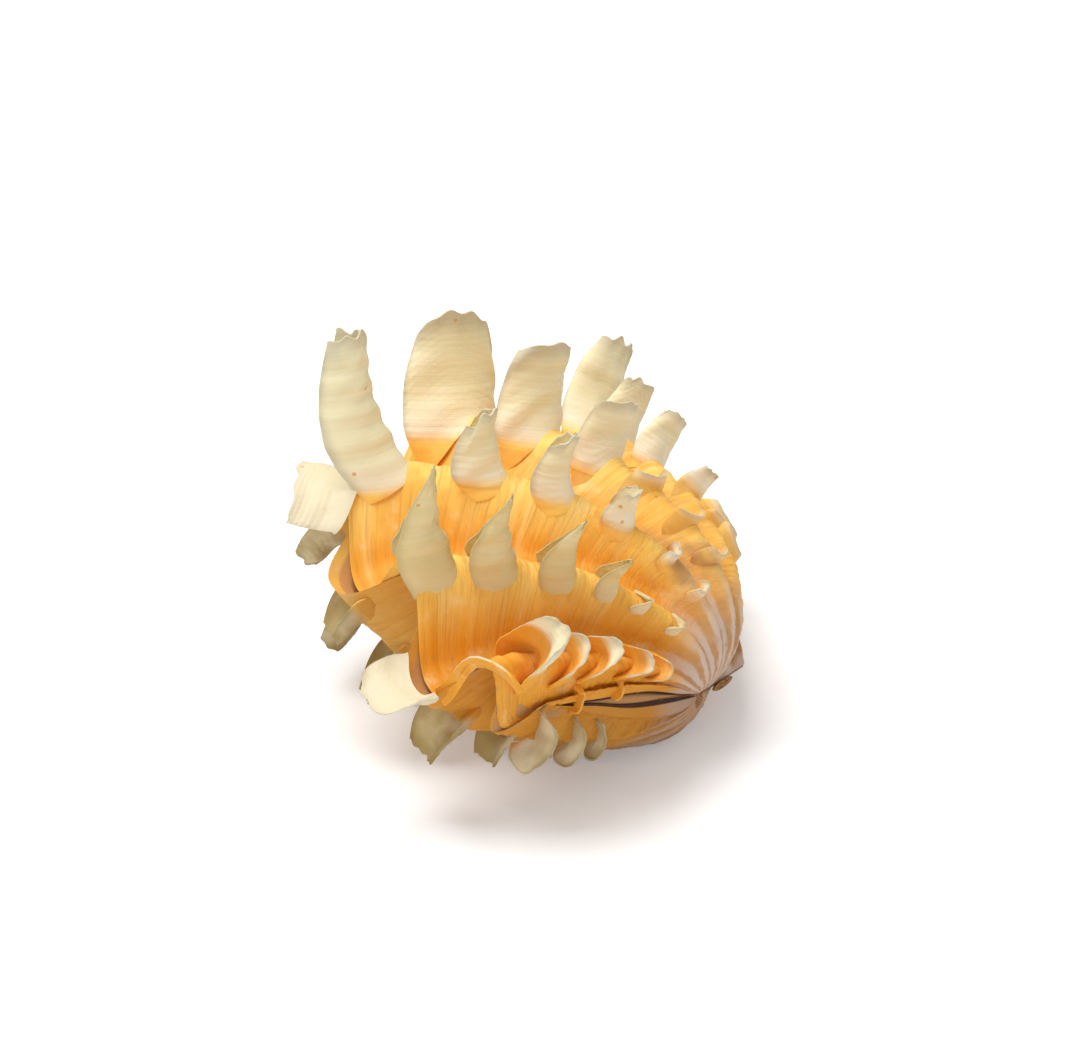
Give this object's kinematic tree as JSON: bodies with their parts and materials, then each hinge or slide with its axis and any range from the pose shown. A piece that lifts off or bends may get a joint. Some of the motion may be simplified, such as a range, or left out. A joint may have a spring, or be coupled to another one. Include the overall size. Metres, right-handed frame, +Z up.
{
  "type": "giant clam shell",
  "caption": "Closed pair of fluted clam valves with folded ribs and rows of tall leaf-like scutes, resting on the lower valve.",
  "frame": {"origin": "bottom centre of the bounding box, in the plane the lower valve rests on", "axes": "+Z up, -X towards the margin where the valves open, +X towards the hinge and beaks, -Y towards the side with the gap for the byssus"},
  "size_m": [0.104, 0.1603, 0.0986],
  "materials": {
    "shell": "matt natural shell, orange with cream scutes",
    "ligament": "dried, dark brown, matt"
  },
  "bodies": {
    "root": {"upper_valve": "shell", "lower_valve": "shell", "hinge_ligament": "ligament"}
  },
  "joints": []
}
